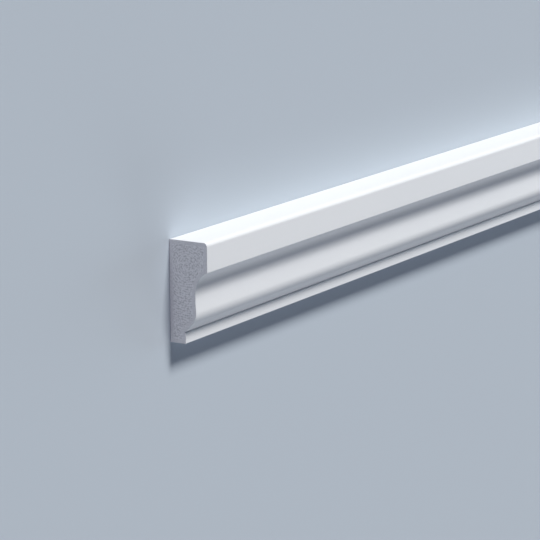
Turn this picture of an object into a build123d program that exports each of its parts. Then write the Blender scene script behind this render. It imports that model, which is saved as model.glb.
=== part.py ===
# Shingle moulding: one straight stick of extruded white cellular PVC, made and kept as one piece.
# It lies on its flat back. X runs along the stick, Y from its bottom edge to its top edge as it is
# nailed up, and Z from the flat back to the front of the nose. The origin is the middle of the back.
from build123d import *
import os

os.makedirs("parts", exist_ok=True)

INCH = 25.4

# The stick as it is sold: 11/16 in by 1-5/8 in, cut 8 ft long
stick_length = 96 * INCH
height = 1.625 * INCH
thickness = 0.6875 * INCH

# Nose: the thick square band along the top, with a 1/16 in round on its upper front edge
nose_height = 11.9
nose_round = INCH / 16

# Cove: it undercuts the nose and runs down, in arcs of growing radius, into the long hollow face
cove_entry_angle = 22.4
throat_radius = 8.8
throat_turn = 55.0
sweep_radius = 17.0
face_radius = 70.0
face_turn = 4.95

# Ogee: a flat crown below the face, the rounder shoulder and a slight hollow that runs on to the quirk
crown_radius = 8.0
crown_turn = 12.0
shoulder_radius = 5.8
shoulder_turn = 44.5
hollow_radius = 6.5
hollow_turn = 10.0

# Fillet: the flat band along the bottom edge. The quirk is the small V groove between it and the
# ogee, square on the ogee's side and sloped on the fillet's side.
fillet_height = 5.0
fillet_depth = 7.1
quirk_depth = 0.55
quirk_width = 0.35

# An edge that comes out of an extrusion die is never knife sharp
arris_round = 0.3

# The section is drawn on the cut end, with its own x up the height and its own y out from the back
cut_end = Plane(origin=(-stick_length / 2, -height / 2, 0), x_dir=(0, 1, 0), z_dir=(1, 0, 0))
inward = Vector(0, -1)
downward = Vector(-1, 0)

with BuildPart() as moulding:
    with BuildSketch(cut_end):
        with BuildLine():
            back = Line((0, 0), (height, 0))
            top = Line(back @ 1, (height, thickness - nose_round))
            nose_corner = JernArc(top @ 1, top % 1, nose_round, 90)
            nose = Line(nose_corner @ 1, (height - nose_height, thickness))

            # The undercut starts a little below straight inward and turns until the section runs down
            cove_entry = inward.rotate(Axis.Z, -cove_entry_angle)
            throat = JernArc(nose @ 1, cove_entry, throat_radius, -throat_turn)
            sweep_turn = 90 - cove_entry_angle - throat_turn
            lower_cove = JernArc(throat @ 1, throat % 1, sweep_radius, -sweep_turn)
            face = JernArc(lower_cove @ 1, downward, face_radius, -face_turn)

            crown = JernArc(face @ 1, face % 1, crown_radius, crown_turn)
            shoulder = JernArc(crown @ 1, crown % 1, shoulder_radius, shoulder_turn)
            hollow = JernArc(shoulder @ 1, shoulder % 1, hollow_radius, -hollow_turn)
            quirk_bottom = (fillet_height, fillet_depth - quirk_depth)
            quirk_level = Line(quirk_bottom, (fillet_height, thickness), mode=Mode.PRIVATE)
            flank = IntersectingLine(hollow @ 1, hollow % 1, quirk_level)
            quirk_wall = Line(flank @ 1, quirk_bottom)
            quirk_slope = Line(quirk_bottom, (fillet_height - quirk_width, fillet_depth))
            fillet_face = Line(quirk_slope @ 1, (0, fillet_depth))
            bottom = Line(fillet_face @ 1, (0, 0))
        make_face()
    extrude(amount=stick_length)

    # The square arrises: both edges of the back, the bottom front edge and the lower edge of the nose
    long_edges = moulding.edges().filter_by(Axis.X)
    back_arrises = long_edges.group_by(Axis.Z)[0]
    bottom_arris = long_edges.group_by(Axis.Y)[0].sort_by(Axis.Z)[-1]
    nose_arris = long_edges.group_by(Axis.Z)[-1].sort_by(Axis.Y)[0]
    fillet([*back_arrises, bottom_arris, nose_arris], radius=arris_round)

moulding.part.label = "moulding"
export_step(moulding.part, "parts/moulding.step")

section_area = moulding.part.volume / stick_length
print(f"section {section_area:.1f} mm2, quirk wall {quirk_wall.length:.2f} mm")
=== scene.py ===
import math

import bmesh
import bpy
from mathutils import Matrix, Quaternion, Vector, bvhtree, noise


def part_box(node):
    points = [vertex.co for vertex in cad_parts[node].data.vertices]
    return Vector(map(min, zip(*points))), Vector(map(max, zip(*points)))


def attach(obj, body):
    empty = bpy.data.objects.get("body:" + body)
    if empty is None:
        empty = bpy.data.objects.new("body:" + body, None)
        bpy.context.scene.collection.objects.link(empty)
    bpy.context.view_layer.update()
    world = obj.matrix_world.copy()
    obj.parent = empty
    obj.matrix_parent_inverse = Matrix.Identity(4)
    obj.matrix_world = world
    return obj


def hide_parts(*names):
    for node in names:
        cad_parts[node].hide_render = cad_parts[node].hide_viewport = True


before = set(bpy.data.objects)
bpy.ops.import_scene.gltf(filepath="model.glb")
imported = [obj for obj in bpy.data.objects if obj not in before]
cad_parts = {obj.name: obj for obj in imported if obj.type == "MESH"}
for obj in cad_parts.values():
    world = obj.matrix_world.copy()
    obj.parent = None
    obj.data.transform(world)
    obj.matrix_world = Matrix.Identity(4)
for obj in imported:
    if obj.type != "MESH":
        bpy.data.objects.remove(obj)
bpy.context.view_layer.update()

# The moulding
# One stick of white cellular PVC, foamed and pushed through a die in one go, then sawn square at
# both ends. The die leaves a dense satin skin all round; the saw opens the foam inside it.
MM = 0.001
low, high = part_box("moulding")
height = high.y - low.y
thickness = high.z - low.z

# Its section, in the order that it is drawn: round the nose, down the cove and face, over the ogee
nose_height = 11.9 * MM
nose_round = 1.5875 * MM
cove_entry_angle = 22.4
throat_radius = 8.8 * MM
throat_turn = 55.0
sweep_radius = 17.0 * MM
face_radius = 70.0 * MM
face_turn = 4.95
crown_radius = 8.0 * MM
crown_turn = 12.0
shoulder_radius = 5.8 * MM
shoulder_turn = 44.5
hollow_radius = 6.5 * MM
hollow_turn = 10.0
fillet_height = 5.0 * MM
fillet_depth = 7.1 * MM
quirk_depth = 0.8 * MM
quirk_width = 0.6 * MM
arris_round = 0.3 * MM
degrees_per_step = 2.5


class SectionPen:
    """Draws the section as one line of edges. It keeps its tip and its heading from step to step."""

    def __init__(self, mesh, x):
        self.mesh = mesh
        self.x = x
        self.tip = mesh.verts.new(self.place(0, 0))
        self.first = self.tip
        self.heading = 0.0

    def place(self, up, out):
        """The point at a height above the bottom edge and a depth out from the back."""
        return Vector((self.x, low.y + up, low.z + out))

    def line_to(self, up, out):
        end = bmesh.ops.extrude_vert_indiv(self.mesh, verts=[self.tip])["verts"][0]
        end.co = self.place(up, out)
        along = end.co - self.tip.co
        self.heading = math.atan2(along.z, along.y)
        self.tip = end
        return end

    def line_to_height(self, up):
        """Straight on along the heading, until that height."""
        here = self.tip.co
        rise = (low.y + up - here.y) * math.tan(self.heading)
        return self.line_to(up, here.z - low.z + rise)

    def arc(self, radius, turn):
        """Turns by so many degrees, to the left if positive, on that radius."""
        left = Vector((0, -math.sin(self.heading), math.cos(self.heading)))
        drawn = bmesh.ops.spin(
            self.mesh,
            geom=[self.tip],
            cent=self.tip.co + left * math.copysign(radius, turn),
            axis=(1, 0, 0),
            angle=math.radians(turn),
            steps=max(3, round(abs(turn) / degrees_per_step)),
        )
        self.tip = drawn["geom_last"][0]
        self.heading += math.radians(turn)

    def close(self):
        self.mesh.edges.new((self.tip, self.first))


stick = bmesh.new()
pen = SectionPen(stick, low.x)
back_bottom = pen.first
back_top = pen.line_to(height, 0)
pen.line_to(height, thickness - nose_round)
pen.arc(nose_round, 90)
nose_arris = pen.line_to(height - nose_height, thickness)
pen.heading = math.radians(270 - cove_entry_angle)
pen.arc(throat_radius, -throat_turn)
pen.arc(sweep_radius, cove_entry_angle + throat_turn - 90)
pen.arc(face_radius, -face_turn)
pen.arc(crown_radius, crown_turn)
pen.arc(shoulder_radius, shoulder_turn)
pen.arc(hollow_radius, -hollow_turn)
pen.line_to_height(fillet_height)
pen.line_to(fillet_height, fillet_depth - quirk_depth)
pen.line_to(fillet_height - quirk_width, fillet_depth)
bottom_front = pen.line_to(0, fillet_depth)
pen.close()
bmesh.ops.contextual_create(stick, geom=stick.edges[:])
bmesh.ops.bevel(
    stick,
    geom=[back_bottom, back_top, nose_arris, bottom_front],
    offset=arris_round,
    offset_type="OFFSET",
    segments=4,
    profile=0.5,
    affect="VERTICES",
    material=-1,
)

# The length is one long push of the section, with a short band at each end for the sawn edge
end_band = 1.5 * MM


def push(face, distance, keep=False):
    """Extrudes an end face along the stick and gives the face at its new end."""
    pushed = bmesh.ops.extrude_face_region(stick, geom=[face], use_keep_orig=True)["geom"]
    corners = [g for g in pushed if isinstance(g, bmesh.types.BMVert)]
    bmesh.ops.translate(stick, verts=corners, vec=(distance, 0, 0))
    if not keep:
        bmesh.ops.delete(stick, geom=[face], context="FACES_ONLY")
    return next(g for g in pushed if isinstance(g, bmesh.types.BMFace))


left_end = stick.faces[:][0]
right_end = push(left_end, end_band, keep=True)
right_end = push(right_end, high.x - low.x - 2 * end_band)
right_end = push(right_end, end_band)
bmesh.ops.recalc_face_normals(stick, faces=stick.faces[:])

# The skin is found from the sides alone, so they are kept as a tree before the ends are cut up
sides = stick.copy()
end_faces = [f for f in sides.faces if abs(f.normal.x) > 0.5]
bmesh.ops.delete(sides, geom=end_faces, context="FACES_ONLY")
skin_tree = bvhtree.BVHTree.FromBMesh(sides)
sides.free()

# The sawn ends. A fine grid carries the opened cells, which are bent a little out of shape and sink
# into the end, each to its own depth. The saw also leaves the edge of the cut a little uneven.
grid_pitch = 0.2 * MM
cell_size = 0.72 * MM
cell_depth = 0.14 * MM
cell_wall = 0.4
bend_size = 1.2 * MM
bend = 0.35
depth_spread = 3.1
depth_start = Vector((7.7, 3.3, 1.1))
skin_depth = 1.2 * MM
core_depth = 2.1 * MM
rim_depth = 0.2 * MM
rim_size = 1.6 * MM
FOAM = 1

foam_layer = stick.verts.layers.float.new("foam")
pit_layer = stick.verts.layers.float.new("pit")


def grid(face):
    """Cuts an end face into small squares and gives its faces."""
    pieces = [face, *face.edges, *face.verts]
    middle = face.calc_center_median()
    for axis, start, size in ((Vector((0, 1, 0)), low.y, height), (Vector((0, 0, 1)), low.z, thickness)):
        for cut in range(1, math.ceil(size / grid_pitch)):
            place = Vector((middle.x, 0, 0)) + axis * (start + cut * grid_pitch)
            pieces = bmesh.ops.bisect_plane(
                stick, geom=pieces, dist=1e-6, plane_co=place, plane_no=axis
            )["geom"]
    return [p for p in pieces if isinstance(p, bmesh.types.BMFace)]


def smooth(value, start, end):
    """0 before start, 1 after end and an even ease between them."""
    share = min(1, max(0, (value - start) / (end - start)))
    return share * share * (3 - 2 * share)


def sawn(face, inward, seed):
    """Opens the foam's cells on one end. inward is the way into the stick."""
    faces = grid(face)
    corners = {corner for f in faces for corner in f.verts}
    for corner in corners:
        across = Vector((seed * MM, corner.co.y, corner.co.z))
        skin = skin_tree.find_nearest(corner.co)[3]
        foam = smooth(skin, skin_depth, core_depth)
        warp = noise.noise_vector(across / bend_size) * bend
        gaps, centres = noise.voronoi(across / cell_size + warp)
        open_share = smooth(gaps[1] - gaps[0], 0.0, cell_wall)
        pit = foam * open_share * abs(noise.cell(centres[0] * depth_spread + depth_start))
        ragged = 0.5 + 0.5 * noise.noise(across / rim_size)
        corner.co.x += inward * (pit * cell_depth + ragged * rim_depth)
        corner[foam_layer] = foam
        corner[pit_layer] = pit
    for f in faces:
        f.material_index = FOAM


sawn(left_end, 1, 3.0)
sawn(right_end, -1, 11.0)
bmesh.ops.recalc_face_normals(stick, faces=stick.faces[:])
for f in stick.faces:
    f.smooth = True

# The section's corners and the rims of the cut stay crisp, and everything between them is smooth
crisp_angle = math.radians(30)
for edge in stick.edges:
    rim = len({f.material_index for f in edge.link_faces}) > 1
    corner = all(f.material_index != FOAM for f in edge.link_faces) and edge.calc_face_angle() > crisp_angle
    edge.smooth = not (rim or corner)

piece_mesh = bpy.data.meshes.new("moulding_stick")
stick.to_mesh(piece_mesh)
stick.free()
piece = bpy.data.objects.new("moulding_stick", piece_mesh)
bpy.context.scene.collection.objects.link(piece)
even_out = piece.modifiers.new("flat_faces", "WEIGHTED_NORMAL")
even_out.keep_sharp = True


class Value:
    """A number in a material's nodes, so that shader maths is written as plain expressions."""

    def __init__(self, finish, socket):
        self.finish = finish
        self.socket = socket

    def math(self, operation, *numbers):
        return self.finish.node("ShaderNodeMath", {"operation": operation}, dict(enumerate(numbers)))

    def __add__(self, other):
        return self.math("ADD", self, other)

    def __sub__(self, other):
        return self.math("SUBTRACT", self, other)

    def __rsub__(self, other):
        return self.math("SUBTRACT", other, self)

    def __mul__(self, other):
        return self.math("MULTIPLY", self, other)

    __radd__ = __add__
    __rmul__ = __mul__


class Finish:
    """One material and its nodes."""

    def __init__(self, name):
        self.material = bpy.data.materials.new(name)
        self.material.use_nodes = True
        self.tree = self.material.node_tree
        self.shader = self.tree.nodes["Principled BSDF"]

    def connect(self, socket, value):
        if isinstance(value, Value):
            self.tree.links.new(value.socket, socket)
        else:
            socket.default_value = value

    def node(self, kind, settings, inputs, output=0):
        """Adds a node: its settings first, then its sockets. Gives one of its outputs."""
        made = self.tree.nodes.new(kind)
        for name, setting in settings.items():
            setattr(made, name, setting)
        for name, value in inputs.items():
            self.connect(made.inputs[name], value)
        return Value(self, made.outputs[output])

    def set(self, **sockets):
        for name, value in sockets.items():
            self.connect(self.shader.inputs[name.replace("_", " ")], value)


def plain_skin():
    finish = Finish("pvc_skin")
    place = finish.node("ShaderNodeTexCoord", {}, {}, "Object")
    along = finish.node("ShaderNodeMapping", {}, {"Vector": place, "Scale": (3.0, 900.0, 900.0)})
    lines = finish.node("ShaderNodeTexNoise", {}, {"Vector": along, "Scale": 1.0, "Detail": 3.0}, "Fac")
    clouds = finish.node("ShaderNodeTexNoise", {}, {"Vector": place, "Scale": 16.0, "Detail": 4.0}, "Fac")
    grain = finish.node("ShaderNodeTexNoise", {}, {"Vector": place, "Scale": 2200.0, "Detail": 2.0}, "Fac")
    tone = finish.node(
        "ShaderNodeMix",
        {"data_type": "RGBA"},
        {"Factor": clouds * 0.7 + lines * 0.3, "A": (0.77, 0.80, 0.84, 1), "B": (0.825, 0.85, 0.885, 1)},
        "Result",
    )
    bump = finish.node(
        "ShaderNodeBump",
        {},
        {"Height": lines * 0.6 + grain * 0.4, "Strength": 0.25, "Distance": 0.00002},
        "Normal",
    )
    finish.set(Base_Color=tone, Roughness=lines * 0.1 + 0.5, Normal=bump)
    return finish.material


def open_foam():
    flow_centre = (low.y + 31.0 * MM, low.z + 8.0 * MM)
    flow_scale = 330.0
    finish = Finish("pvc_foam")
    place = finish.node("ShaderNodeTexCoord", {}, {}, "Object")
    foam = finish.node("ShaderNodeAttribute", {"attribute_name": "foam"}, {}, "Fac")
    pit = finish.node("ShaderNodeAttribute", {"attribute_name": "pit"}, {}, "Fac")
    pores = finish.node("ShaderNodeTexNoise", {}, {"Vector": place, "Scale": 1150.0, "Detail": 2.0}, "Fac")
    flow = finish.node(
        "ShaderNodeMapping", {}, {"Vector": place, "Location": (-low.x, -flow_centre[0], -flow_centre[1])}
    )
    rings = finish.node(
        "ShaderNodeTexWave",
        {"wave_type": "RINGS", "rings_direction": "X"},
        {"Vector": flow, "Scale": flow_scale, "Distortion": 4.0, "Detail": 2.0, "Detail Scale": 1.5},
        "Fac",
    )
    # The pores and the flow rings vary the foam's own tone. The pit term is painted shade: the deeper an
    # opened cell sinks into the end, the darker it is coloured.
    grain = (pores - 0.5) * 4.0 + (rings - 0.5) * 0.6 + (pit - 0.3) * 0.6
    shade = finish.node(
        "ShaderNodeMix",
        {"data_type": "RGBA"},
        {"Factor": (foam * 0.8 + 0.2) * grain + 0.4, "A": (0.90, 0.90, 0.90, 1), "B": (0.62, 0.62, 0.62, 1)},
        "Result",
    )
    bump = finish.node("ShaderNodeBump", {}, {"Height": pores, "Strength": 0.5, "Distance": 0.0001}, "Normal")
    finish.set(Base_Color=shade, Roughness=0.8, Normal=bump)
    return finish.material


piece_mesh.materials.append(plain_skin())
piece_mesh.materials.append(open_foam())
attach(piece, "root")
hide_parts("moulding")

# The floor
# A pale blue-grey sheet without a seam, just under the stick's back. It is so large that its far
# edge stays out of sight.
floor_size = 400.0
floor_gap = 0.1 * MM
floor_mesh = bpy.data.meshes.new("floor")
ground = bmesh.new()
bmesh.ops.create_grid(ground, x_segments=1, y_segments=1, size=floor_size)
bmesh.ops.translate(ground, verts=ground.verts[:], vec=(0, 0, low.z - floor_gap))
ground.to_mesh(floor_mesh)
ground.free()
floor = bpy.data.objects.new("floor", floor_mesh)
bpy.context.scene.collection.objects.link(floor)
paint = Finish("pale_floor")
paint.set(Base_Color=(0.50, 0.57, 0.65, 1), Roughness=0.9)
floor_mesh.materials.append(paint.material)

# The light
# A wide soft key comes in low over the top edge, so that the nose shades the cove below it. Weak
# fills and a pale sky lift the shade. All of them are far away, so that the floor is lit evenly.


def far_light(name, azimuth, elevation, width, level, colour):
    """A soft light from far off. A level of 1 shows a white face that is turned to it as white."""
    turn, rise = math.radians(azimuth), math.radians(elevation)
    way = Vector((math.cos(rise) * math.cos(turn), math.cos(rise) * math.sin(turn), math.sin(rise)))
    lamp = bpy.data.lights.new(name, "SUN")
    lamp.angle = math.radians(width)
    lamp.energy = level * math.pi
    lamp.color = colour
    holder = bpy.data.objects.new(name, lamp)
    holder.matrix_world = way.to_track_quat("Z", "Y").to_matrix().to_4x4()
    bpy.context.scene.collection.objects.link(holder)


far_light("key", 85, 32.5, 15, 1.175, (1.0, 0.967, 0.925))
far_light("rake", 0, 13, 24, 0.24, (0.72, 0.88, 1.0))
far_light("fill_side", 310, 13, 24, 0.20, (0.94, 0.98, 1.0))
far_light("fill_end", 200, 20, 30, 0.155, (0.84, 0.81, 1.0))

world = bpy.data.worlds.new("studio")
world.use_nodes = True
world.node_tree.nodes["Background"].inputs["Color"].default_value = (0.72, 0.79, 1.0, 1)
world.node_tree.nodes["Background"].inputs["Strength"].default_value = 0.07
bpy.context.scene.world = world

# The camera
# It looks down on the stick from beyond its left end, as in the photograph: a long lens about
# 1.1 m away, turned so that the stick's top edge is at the top of the picture.
camera_place = Vector((-2.0460, 0.2265, 0.5566))
aim = Vector((low.x + 0.0746, -0.0059, 0))
roll = math.radians(-0.35)
camera = bpy.data.cameras.new("camera")
camera.lens = 174.2
camera_object = bpy.data.objects.new("camera", camera)
bpy.context.scene.collection.objects.link(camera_object)
forward = (aim - camera_place).normalized()
right = forward.cross(Vector((0, 1, 0))).normalized()
right.rotate(Quaternion(forward, -roll))
up = right.cross(forward)
turned = Matrix((right, up, -forward)).transposed().to_4x4()
camera_object.matrix_world = Matrix.Translation(camera_place) @ turned
bpy.context.scene.camera = camera_object

bpy.context.scene.view_settings.view_transform = "Standard"
